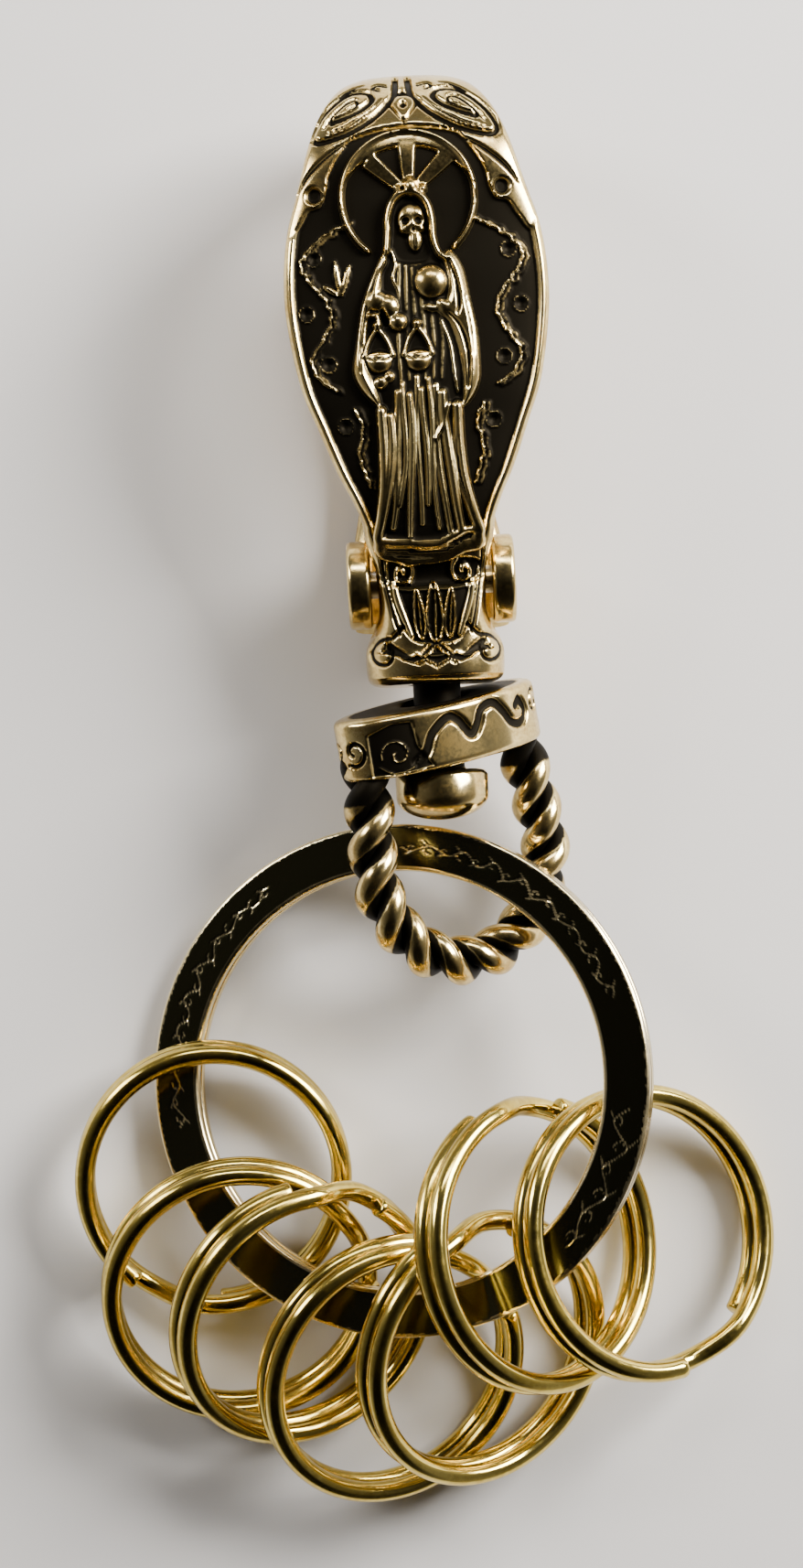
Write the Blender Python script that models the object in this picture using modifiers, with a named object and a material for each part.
"""Ornate brass belt hook with a swivelling rope shackle, a flat split ring and seven small split rings.

The keyring lies face up: +Y runs towards the hook's crown, +Z is up, and z = 0 is the surface it lies on.
The origin is the middle of the footprint. Every length below is in millimetres and is scaled by MM.
"""
import math

import bmesh
import bpy
from mathutils import Matrix, Vector

MM = 0.001
NAME = "carabiner_keyring"
WELD = 0.00002
# Cutters run this far past what they cut.
CUT_PAST = 1.0
CUT_THROUGH = 30.0

# Hook: the long axis of the body, and the side profile it is lofted along.
HOOK_X = 3.4
CROWN_Y = 51.1
CROWN_Z = 9.6
CROWN_RADIUS = 7.6
CROWN_STEPS = 8
SECTION_POINTS = 16
# Stations from the foot to the crown: y, height of the middle, width, thickness, squareness of the section.
FRONT_STATIONS = (
    (9.1, 10.2, 10.0, 9.6, 2.6),
    (9.8, 10.2, 11.4, 11.0, 2.6),
    (12.0, 10.3, 11.6, 10.9, 2.8),
    (13.4, 10.7, 10.2, 9.6, 3.2),
    (15.2, 11.1, 9.0, 9.2, 3.6),
    (18.2, 11.7, 9.2, 8.6, 3.6),
    (19.8, 12.7, 9.3, 7.2, 3.6),
    (21.2, 14.6, 10.6, 4.2, 3.2),
    (22.6, 15.2, 11.0, 3.8, 3.0),
    (24.2, 15.8, 12.3, 3.5, 3.0),
    (26.6, 16.3, 14.6, 3.2, 3.0),
    (30.0, 16.7, 17.2, 3.0, 3.0),
    (33.5, 17.0, 19.7, 3.0, 3.0),
    (38.5, 17.1, 21.4, 3.0, 3.0),
    (42.3, 17.2, 21.6, 3.0, 3.0),
    (46.0, 17.2, 20.7, 3.0, 3.0),
    (49.0, 17.2, 19.0, 3.1, 3.0),
)
CROWN_WIDTHS = (16.2, 13.8, 11.2, 9.2, 8.4, 8.2, 8.0, 8.0)
CROWN_THICKNESS = 3.2
CROWN_POWER = 2.8
# The rear arm, from the crown down to the hook's tip.
REAR_STATIONS = (
    (49.0, 1.95, 8.0, 3.1, 2.6),
    (47.4, 1.95, 7.4, 2.9, 2.4),
    (46.2, 2.0, 6.4, 2.2, 2.2),
    (45.6, 2.05, 4.6, 1.3, 2.0),
)

# Lever: two cheeks on the pin, and a bellied arm that closes the throat.
PIN_Y = 17.6
PIN_Z = 10.4
PIN_RADIUS = 1.15
PIN_LENGTH = 13.7
PIN_CROWN = 0.15
PIN_CLEARANCE = 0.2
CHEEK_GAP = 0.3
CHEEK_THICKNESS = 1.95
CHEEK_RADIUS = 3.7
CHEEK_TAPER = 0.85
CHEEK_FOOT_Z = 3.3
NECK_HALF_WIDTH = 4.75
PAD_Z = 0.45
PAD_CUT = ((-9.0, -6.0, -3.0), (9.0, 16.0, 0.0))
LEVER_POWER = 3.0
BORE_RADIUS = 1.35
# Arm stations: y, height of the middle, width, thickness.
LEVER_STATIONS = (
    (14.2, 4.4, 13.2, 1.6),
    (15.4, 3.5, 13.7, 2.4),
    (17.5, 2.6, 13.7, 2.9),
    (20.5, 1.9, 13.2, 3.2),
    (24.0, 1.8, 11.8, 3.2),
    (29.0, 2.4, 9.8, 3.0),
    (35.0, 3.6, 8.0, 2.6),
    (41.0, 4.7, 6.8, 2.3),
    (46.0, 5.3, 6.0, 2.1),
    (49.2, 5.45, 5.4, 1.7),
)

# Lever spring: a small compression coil between the lever and the waist of the body.
SPRING_Y = 21.6
SPRING_WIRE = 0.26
SPRING_RADIUS = 1.45
SPRING_BOTTOM = 3.95
SPRING_TOP = 13.6
SPRING_TURNS = 6
SPRING_POINTS = 10
POCKET_RADIUS = 2.1
POCKET_TOP = 13.9

# Stud: a rivet along Y through the foot, with its domed head inside the shackle.
STUD_Z = 10.3
SHANK_RADIUS = 2.0
FOOT_BORE_RADIUS = 2.25
STUD_BORE_Y = (4.0, 14.0)
RIVET_RADIUS = 2.8
RIVET_FACE_Y = 12.5
RIVET_HEIGHT = 1.1
WINDOW_HALF_WIDTH = 3.2
WINDOW_Y = (12.2, 14.2)
WINDOW_TOP = 13.4
HEAD_RADIUS = 3.9
HEAD_TOP_Y = 1.5
HEAD_EDGE_Y = -0.3
HEAD_BOTTOM_Y = -2.1

# Shackle: an oval collar rocked on the stud, and a loop cast in one with it.
COLLAR_CENTRE = (HOOK_X, 4.6, STUD_Z)
COLLAR_HALF_LENGTH = 9.3
COLLAR_HALF_DEPTH = 5.2
COLLAR_UP = 2.7
COLLAR_DOWN = 2.1
COLLAR_BORE_RADIUS = 2.85
COLLAR_BEVEL = 0.5
COLLAR_POINTS = 32
ROCK_YAW = 7.2
ROCK_DROOP = 8.0
COLLAR_SPIN = 28.0
LOOP_RADIUS = 2.15
LOOP_TOP_HALF = 7.3
LOOP_HALF = 8.4
LOOP_STRAIGHT = 10.0
LOOP_DEPTH = 19.2
LOOP_ROOT = 0.4
LOOP_LEG_POINTS = 4
LOOP_ARC_POINTS = 14

# Flat split ring: two flat turns, with a cranked step between them.
FLAT_RADIUS = 21.8
FLAT_BAND = 4.1
FLAT_TURN_THICKNESS = 1.1
FLAT_TURN_PITCH = 1.2
FLAT_CHAMFER = 0.3
FLAT_POINTS = 44
FLAT_CENTRE = (-1.5, -24.3, 6.7)
FLAT_TILT = 15.0
FLAT_UPHILL = 344.0
FLAT_SPLIT = 288.0

# Small split rings: two round turns each.
WIRE_RADIUS = 0.9
WIRE_PITCH = 1.84
RING_POINTS = 26
STEP_SPAN = 30.0
END_GAP = 5.0
# One row for each ring as it lies: outer diameter, centre, tilt, uphill bearing, bearing of its wire ends.
SMALL_RINGS = (
    (23.8, (-18.0, -32.2, 3.6), 8.0, 116.0, 250.0),
    (23.8, (-16.1, -41.7, 5.3), 18.0, 109.0, 20.0),
    (23.8, (-10.7, -43.4, 7.9), 32.0, 143.0, 75.0),
    (23.8, (-3.5, -48.8, 7.1), 28.0, 143.0, 40.0),
    (23.8, (4.3, -47.3, 8.0), 34.0, 156.0, 100.0),
    (25.0, (9.4, -38.5, 9.4), 40.0, 192.0, 95.0),
    (25.0, (18.6, -38.3, 7.8), 30.5, 196.0, 300.0),
)

parts = None
guides = None


def clear_scene():
    for item in list(bpy.data.objects):
        bpy.data.objects.remove(item, do_unlink=True)


def new_collection(name):
    collection = bpy.data.collections.new(name)
    bpy.context.scene.collection.children.link(collection)
    return collection


def metal(name, colour, roughness):
    material = bpy.data.materials.new(name)
    material.use_nodes = True
    shader = material.node_tree.nodes["Principled BSDF"]
    shader.inputs["Base Color"].default_value = (*colour, 1.0)
    shader.inputs["Metallic"].default_value = 1.0
    shader.inputs["Roughness"].default_value = roughness
    return material


def add_object(name, data, collection, material=None):
    item = bpy.data.objects.new(name, data)
    collection.objects.link(item)
    if material is not None:
        item.data.materials.append(material)
    return item


def smooth(item, degrees=40.0):
    item.data.shade_smooth()
    item.data.set_sharp_from_angle(angle=math.radians(degrees))


def use_as_cutter(item):
    item.hide_render = True
    item.display_type = "WIRE"


def boolean(target, tool, operation):
    modifier = target.modifiers.new(tool.name, "BOOLEAN")
    modifier.operation = operation
    modifier.solver = "EXACT"
    modifier.object = tool
    use_as_cutter(tool)


def cylinder(name, radius, length, centre, axis, collection, segments=24, material=None):
    """A cylinder of a length in millimetres, centred on a point and lying along an axis."""
    mesh = bpy.data.meshes.new(name)
    bm = bmesh.new()
    bmesh.ops.create_cone(bm, cap_ends=True, segments=segments, radius1=radius * MM,
                          radius2=radius * MM, depth=length * MM)
    bm.to_mesh(mesh)
    bm.free()
    item = add_object(name, mesh, collection, material)
    item.location = Vector(centre) * MM
    item.rotation_euler = Vector(axis).to_track_quat("Z", "Y").to_euler()
    return item


def box(name, low, high, collection):
    mesh = bpy.data.meshes.new(name)
    bm = bmesh.new()
    size = Vector(high) - Vector(low)
    bmesh.ops.create_cube(bm, size=1.0, matrix=Matrix.Diagonal((*(size * MM), 1.0)))
    bm.to_mesh(mesh)
    bm.free()
    item = add_object(name, mesh, collection)
    item.location = (Vector(high) + Vector(low)) * 0.5 * MM
    return item


def loft(name, rings, collection, material):
    """Skin a row of closed rings that all have the same number of points, and cap both ends."""
    mesh = bpy.data.meshes.new(name)
    bm = bmesh.new()
    rows = []
    for ring in rings:
        rows.append([bm.verts.new(point * MM) for point in ring])
    for near, far in zip(rows, rows[1:]):
        count = len(near)
        for i in range(count):
            j = (i + 1) % count
            bm.faces.new((near[i], near[j], far[j], far[i]))
    bm.faces.new(rows[0])
    bm.faces.new(rows[-1])
    bmesh.ops.recalc_face_normals(bm, faces=bm.faces)
    bm.to_mesh(mesh)
    bm.free()
    return add_object(name, mesh, collection, material)


def superellipse(half_width, half_height, power, count):
    """Points round a rounded rectangle: a power of 2 is an ellipse, and more is squarer."""
    points = []
    for i in range(count):
        turn = math.tau * i / count
        c = math.cos(turn)
        s = math.sin(turn)
        x = half_width * math.copysign(abs(c) ** (2.0 / power), c)
        z = half_height * math.copysign(abs(s) ** (2.0 / power), s)
        points.append((x, z))
    return points


def body_section(y, z, along, width, thickness, power):
    """One ring of the body, square to the direction along, which lies in the YZ plane."""
    normal = Vector((0.0, -along.z, along.y))
    middle = Vector((HOOK_X, y, z))
    ring = []
    for across, out in superellipse(width / 2, thickness / 2, power, SECTION_POINTS):
        ring.append(middle + Vector((across, 0.0, 0.0)) + normal * out)
    return ring


def direction(stations, index):
    before = stations[max(index - 1, 0)]
    after = stations[min(index + 1, len(stations) - 1)]
    return Vector((0.0, after[0] - before[0], after[1] - before[1])).normalized()


def hook_rings():
    rings = []
    flat_foot = 2
    for i, (y, z, width, thickness, power) in enumerate(FRONT_STATIONS):
        along = Vector((0.0, 1.0, 0.0)) if i < flat_foot else direction(FRONT_STATIONS, i)
        rings.append(body_section(y, z, along, width, thickness, power))
    for i, width in enumerate(CROWN_WIDTHS):
        turn = math.radians(90.0 - 180.0 * (i + 0.5) / CROWN_STEPS)
        y = CROWN_Y + CROWN_RADIUS * math.cos(turn)
        z = CROWN_Z + CROWN_RADIUS * math.sin(turn)
        along = Vector((0.0, math.sin(turn), -math.cos(turn)))
        rings.append(body_section(y, z, along, width, CROWN_THICKNESS, CROWN_POWER))
    for i, (y, z, width, thickness, power) in enumerate(REAR_STATIONS):
        rings.append(body_section(y, z, direction(REAR_STATIONS, i), width, thickness, power))
    return rings


def hook_body(brass):
    body = loft("hook_body", hook_rings(), parts, brass)
    smooth(body)
    pin_bore = cylinder("pin_bore", PIN_RADIUS + PIN_CLEARANCE, CUT_THROUGH,
                        (HOOK_X, PIN_Y, PIN_Z), (1, 0, 0), guides)
    stud_bore = cylinder("stud_bore", FOOT_BORE_RADIUS, STUD_BORE_Y[1] - STUD_BORE_Y[0],
                         (HOOK_X, sum(STUD_BORE_Y) / 2, STUD_Z), (0, 1, 0), guides)
    rivet_window = box("rivet_window", (HOOK_X - WINDOW_HALF_WIDTH, WINDOW_Y[0], -CUT_PAST),
                       (HOOK_X + WINDOW_HALF_WIDTH, WINDOW_Y[1], WINDOW_TOP), guides)
    spring_pocket = cylinder("spring_pocket", POCKET_RADIUS, POCKET_TOP + CUT_PAST,
                             (HOOK_X, SPRING_Y, (POCKET_TOP - CUT_PAST) / 2), (0, 0, 1), guides)
    for cutter in (pin_bore, stud_bore, rivet_window, spring_pocket):
        boolean(body, cutter, "DIFFERENCE")
    return body


def cheek(name, middle):
    """A cheek plate: round over the pin, and straight down to the lever's arm."""
    mesh = bpy.data.meshes.new(name)
    bm = bmesh.new()
    outline = []
    arc_steps = 14
    for i in range(arc_steps + 1):
        turn = math.pi * i / arc_steps
        outline.append((CHEEK_RADIUS * math.cos(turn), CHEEK_RADIUS * math.sin(turn)))
    foot = CHEEK_RADIUS * CHEEK_TAPER
    outline += [(-foot, CHEEK_FOOT_Z - PIN_Z), (foot, CHEEK_FOOT_Z - PIN_Z)]
    near = [bm.verts.new((-CHEEK_THICKNESS / 2 * MM, y * MM, z * MM)) for y, z in outline]
    plate = bmesh.ops.extrude_face_region(bm, geom=[bm.faces.new(near)])
    moved = [item for item in plate["geom"] if isinstance(item, bmesh.types.BMVert)]
    bmesh.ops.translate(bm, vec=(CHEEK_THICKNESS * MM, 0.0, 0.0), verts=moved)
    bmesh.ops.recalc_face_normals(bm, faces=bm.faces)
    bm.to_mesh(mesh)
    bm.free()
    plate_object = add_object(name, mesh, guides)
    plate_object.location = Vector((middle, PIN_Y, PIN_Z)) * MM
    return plate_object


def gate_lever(brass):
    rings = []
    for i, (y, z, width, thickness) in enumerate(LEVER_STATIONS):
        along = direction(LEVER_STATIONS, i)
        normal = Vector((0.0, -along.z, along.y))
        middle = Vector((0.0, y - PIN_Y, z - PIN_Z))
        ring = []
        for across, out in superellipse(width / 2, thickness / 2, LEVER_POWER, SECTION_POINTS):
            ring.append(middle + Vector((across, 0.0, 0.0)) + normal * out)
        rings.append(ring)
    lever = loft("gate_lever", rings, parts, brass)
    lever.location = Vector((HOOK_X, PIN_Y, PIN_Z)) * MM
    inner = NECK_HALF_WIDTH + CHEEK_GAP
    for side, name in ((-1, "cheek_left"), (1, "cheek_right")):
        middle = HOOK_X + side * (inner + CHEEK_THICKNESS / 2)
        boolean(lever, cheek(name, middle), "UNION")
    pad_low, pad_high = [Vector((HOOK_X, PIN_Y, PAD_Z)) + Vector(corner) for corner in PAD_CUT]
    boolean(lever, box("pad_cut", pad_low, pad_high, guides), "DIFFERENCE")
    boolean(lever, cylinder("cheek_bore", BORE_RADIUS, CUT_THROUGH, (HOOK_X, PIN_Y, PIN_Z),
                            (1, 0, 0), guides), "DIFFERENCE")
    smooth(lever)
    return lever


def lever_pin(steel):
    pin = cylinder("lever_pin", PIN_RADIUS, PIN_LENGTH, (HOOK_X, PIN_Y, PIN_Z), (1, 0, 0),
                   parts, 20, steel)
    edge = pin.modifiers.new("domed_ends", "BEVEL")
    edge.width = PIN_CROWN * MM
    edge.segments = 1
    edge.limit_method = "ANGLE"
    edge.angle_limit = math.radians(60.0)
    smooth(pin)
    return pin


def wire(name, points, radius, collection, material):
    """A round wire along a list of points in millimetres, with closed ends."""
    curve = bpy.data.curves.new(name, "CURVE")
    curve.dimensions = "3D"
    curve.bevel_depth = radius * MM
    curve.bevel_resolution = 2
    curve.use_fill_caps = True
    spline = curve.splines.new("POLY")
    spline.points.add(len(points) - 1)
    for slot, point in zip(spline.points, points):
        slot.co = (*(Vector(point) * MM), 1.0)
    return add_object(name, curve, collection, material)


def lever_spring(steel):
    points = []
    count = SPRING_TURNS * SPRING_POINTS
    for i in range(count + 1):
        turn = math.tau * i / SPRING_POINTS
        height = SPRING_BOTTOM + (SPRING_TOP - SPRING_BOTTOM) * i / count
        points.append((SPRING_RADIUS * math.cos(turn), SPRING_RADIUS * math.sin(turn), height))
    spring = wire("lever_spring", points, SPRING_WIRE, parts, steel)
    spring.location = Vector((HOOK_X, SPRING_Y, 0.0)) * MM
    return spring


def swivel_stud(brass):
    """A turned rivet: its profile runs down the outer side from the peened end to the domed head."""
    profile = [(0.0, RIVET_FACE_Y + RIVET_HEIGHT), (RIVET_RADIUS * 0.7, RIVET_FACE_Y + RIVET_HEIGHT),
               (RIVET_RADIUS, RIVET_FACE_Y + RIVET_HEIGHT * 0.5), (RIVET_RADIUS, RIVET_FACE_Y),
               (SHANK_RADIUS, RIVET_FACE_Y), (SHANK_RADIUS, HEAD_TOP_Y),
               (HEAD_RADIUS * 0.9, HEAD_TOP_Y), (HEAD_RADIUS, HEAD_TOP_Y - 0.4)]
    dome_steps = 5
    for i in range(dome_steps + 1):
        turn = math.radians(90.0 * i / dome_steps)
        profile.append((HEAD_RADIUS * math.cos(turn),
                        HEAD_EDGE_Y + (HEAD_BOTTOM_Y - HEAD_EDGE_Y) * math.sin(turn)))
    mesh = bpy.data.meshes.new("swivel_stud")
    bm = bmesh.new()
    row = [bm.verts.new((radius * MM, 0.0, height * MM)) for radius, height in profile]
    for upper, lower in zip(row, row[1:]):
        bm.edges.new((upper, lower))
    bm.to_mesh(mesh)
    bm.free()
    stud = add_object("swivel_stud", mesh, parts, brass)
    screw = stud.modifiers.new("turned", "SCREW")
    screw.steps = 24
    screw.render_steps = 24
    screw.use_merge_vertices = True
    screw.merge_threshold = WELD
    stud.location = Vector((HOOK_X, 0.0, STUD_Z)) * MM
    stud.rotation_euler = (math.radians(-90.0), 0.0, 0.0)
    return stud


def shackle_axes():
    """Directions of the rocked shackle: towards its upper leg, away from the hook, and out of its face."""
    yaw = math.radians(ROCK_YAW)
    droop = math.radians(ROCK_DROOP)
    spin = math.radians(COLLAR_SPIN)
    down = Vector((math.sin(yaw) * math.cos(droop), -math.cos(yaw) * math.cos(droop),
                   -math.sin(droop)))
    level = Vector((-math.cos(yaw), -math.sin(yaw), 0.0))
    face = level.cross(down)
    lateral = level * math.cos(spin) + face * math.sin(spin)
    return lateral, down, lateral.cross(down)


def loop_route():
    """The loop's centre line in the shackle's own plane: across, and down from the collar's middle."""
    drop = LOOP_DEPTH - LOOP_STRAIGHT
    leg = []
    for i in range(LOOP_LEG_POINTS):
        part = i / LOOP_LEG_POINTS
        leg.append((LOOP_TOP_HALF + (LOOP_HALF - LOOP_TOP_HALF) * part,
                    LOOP_ROOT + (LOOP_STRAIGHT - LOOP_ROOT) * part))
    arc = []
    for i in range(LOOP_ARC_POINTS + 1):
        turn = math.pi * i / LOOP_ARC_POINTS
        arc.append((LOOP_HALF * math.cos(turn), LOOP_STRAIGHT + drop * math.sin(turn)))
    return leg + arc + [(-across, down) for across, down in reversed(leg)]


def rope_shackle(brass):
    lateral, down, face = shackle_axes()
    pose = Matrix((lateral, down, face)).transposed().to_4x4()
    pose.translation = Vector(COLLAR_CENTRE) * MM
    rock = bpy.data.objects.new("shackle_rock", None)
    parts.objects.link(rock)
    rock.matrix_world = pose
    mesh = bpy.data.meshes.new("rope_shackle")
    bm = bmesh.new()
    rim = []
    for i in range(COLLAR_POINTS):
        turn = math.tau * i / COLLAR_POINTS
        rim.append(bm.verts.new((COLLAR_HALF_LENGTH * math.cos(turn) * MM, -COLLAR_UP * MM,
                                 -COLLAR_HALF_DEPTH * math.sin(turn) * MM)))
    base = bm.faces.new(rim)
    walls = bmesh.ops.extrude_face_region(bm, geom=[base])
    moved = [item for item in walls["geom"] if isinstance(item, bmesh.types.BMVert)]
    bmesh.ops.translate(bm, vec=(0.0, (COLLAR_UP + COLLAR_DOWN) * MM, 0.0), verts=moved)
    bmesh.ops.recalc_face_normals(bm, faces=bm.faces)
    edges = [edge for edge in bm.edges if edge.calc_face_angle() > math.radians(60.0)]
    bmesh.ops.bevel(bm, geom=edges, offset=COLLAR_BEVEL * MM, segments=1, affect="EDGES",
                    profile=0.5, material=-1)
    bm.to_mesh(mesh)
    bm.free()
    shackle = add_object("rope_shackle", mesh, parts, brass)
    shackle.parent = rock
    route = [(across, along, 0.0) for across, along in loop_route()]
    curve = wire("loop_curve", route, LOOP_RADIUS, guides, None)
    bpy.context.view_layer.update()
    drawn = curve.evaluated_get(bpy.context.evaluated_depsgraph_get())
    loop_mesh = bpy.data.meshes.new_from_object(drawn)
    bm = bmesh.new()
    bm.from_mesh(loop_mesh)
    bmesh.ops.remove_doubles(bm, verts=bm.verts, dist=WELD)
    bmesh.ops.recalc_face_normals(bm, faces=bm.faces)
    bm.to_mesh(loop_mesh)
    bm.free()
    bpy.data.objects.remove(curve, do_unlink=True)
    loop = add_object("loop_tube", loop_mesh, guides)
    loop.parent = rock
    boolean(shackle, loop, "UNION")
    bore = cylinder("collar_bore", COLLAR_BORE_RADIUS, 12.0, (0.0, 0.0, 0.0), (0, 1, 0), guides)
    bore.parent = rock
    boolean(shackle, bore, "DIFFERENCE")
    smooth(shackle)
    return shackle


def lying(item, centre, tilt, uphill):
    """Lay a ring made flat at the origin: tip it by tilt, so that its side at bearing uphill is up."""
    bearing = math.radians(uphill)
    hinge = Vector((math.sin(bearing), -math.cos(bearing), 0.0))
    item.matrix_world = (Matrix.Translation(Vector(centre) * MM)
                         @ Matrix.Rotation(math.radians(tilt), 4, hinge))


def split_path(radius, pitch, count, ends, span, end_gap):
    """Two turns one above the other. A wire end, the step down and the other end share one short arc."""
    points = []
    total = 720.0 - span - 2.0 * end_gap
    steps = 2 * count
    half = pitch / 2
    for i in range(steps + 1):
        travelled = total * i / steps
        middle = abs(travelled - total / 2)
        if middle >= span / 2:
            rise = math.copysign(half, travelled - total / 2)
        else:
            rise = half * math.sin(math.pi * (travelled - total / 2) / span)
        bearing = math.radians(ends + span / 2 + end_gap + travelled)
        points.append((radius * math.cos(bearing), radius * math.sin(bearing), rise))
    return points


def flat_split_ring(brass):
    """Two flat turns, each a rectangle swept along the split path."""
    path = split_path(FLAT_RADIUS - FLAT_BAND / 2, FLAT_TURN_PITCH, FLAT_POINTS, FLAT_SPLIT,
                      STEP_SPAN / 2, END_GAP / 4)
    half_band = FLAT_BAND / 2
    half_thick = FLAT_TURN_THICKNESS / 2
    outline = []
    for across, out in ((1, 1), (-1, 1), (-1, -1), (1, -1)):
        long_way = (across * half_band, out * (half_thick - FLAT_CHAMFER))
        short_way = (across * (half_band - FLAT_CHAMFER), out * half_thick)
        outline += [long_way, short_way] if across == out else [short_way, long_way]
    rings = []
    for x, y, z in path:
        outward = Vector((x, y, 0.0)).normalized()
        middle = Vector((x, y, z))
        rings.append([middle + outward * across + Vector((0.0, 0.0, out)) for across, out in outline])
    ring = loft("flat_split_ring", rings, parts, brass)
    ring.data.polygons.foreach_set("use_smooth", [False] * len(ring.data.polygons))
    lying(ring, FLAT_CENTRE, FLAT_TILT, FLAT_UPHILL)
    return ring


def small_split_rings(brass):
    for number, (diameter, centre, tilt, uphill, ends) in enumerate(SMALL_RINGS, 1):
        path = split_path(diameter / 2 - WIRE_RADIUS, WIRE_PITCH, RING_POINTS, ends, STEP_SPAN, END_GAP)
        ring = wire("small_ring_%d" % number, path, WIRE_RADIUS, parts, brass)
        lying(ring, centre, tilt, uphill)


def main():
    global parts
    global guides
    clear_scene()
    parts = new_collection(NAME)
    guides = new_collection("cutters")
    cast_brass = metal("cast_brass", (0.78, 0.60, 0.30), 0.28)
    dark_brass = metal("blackened_brass", (0.10, 0.09, 0.06), 0.30)
    ring_brass = metal("ring_brass", (0.72, 0.54, 0.22), 0.22)
    steel = metal("spring_steel", (0.55, 0.55, 0.56), 0.30)
    hook_body(cast_brass)
    gate_lever(cast_brass)
    lever_pin(steel)
    lever_spring(steel)
    swivel_stud(cast_brass)
    rope_shackle(cast_brass)
    flat_split_ring(dark_brass)
    small_split_rings(ring_brass)


main()
